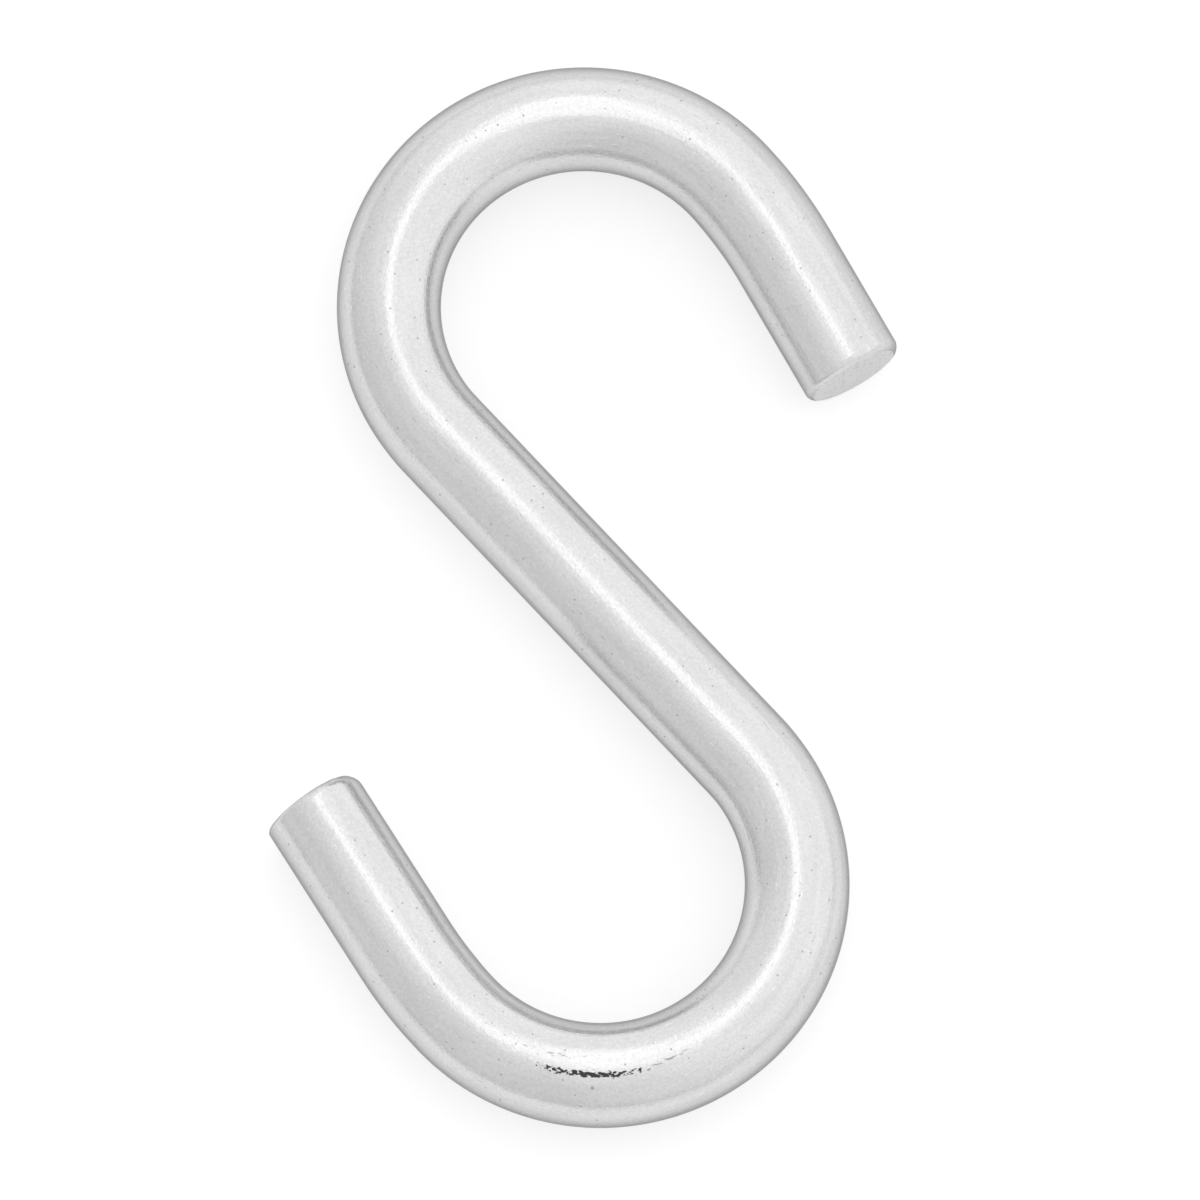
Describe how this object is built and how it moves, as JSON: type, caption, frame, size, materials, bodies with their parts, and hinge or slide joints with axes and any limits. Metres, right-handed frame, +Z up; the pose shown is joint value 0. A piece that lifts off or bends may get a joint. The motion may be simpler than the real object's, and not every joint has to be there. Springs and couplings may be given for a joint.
{
  "type": "s hook",
  "caption": "Open S-shaped hook of round steel wire with a bright zinc-like plate, straight shank and square-cut ends.",
  "frame": {"origin": "middle of the hook's box in plan, on the plane the hook lies on", "axes": "+Y along the hook's length toward the bight that opens to the right, +X toward that bight's cut end, +Z up out of the plane of the S"},
  "size_m": [0.0298, 0.0506, 0.0049],
  "materials": {
    "zinc_plate": "bright zinc plate over drawn steel wire, fine draw lines, small pits and a dark rub mark"
  },
  "bodies": {
    "root": {"s_hook": "zinc_plate"}
  },
  "joints": []
}
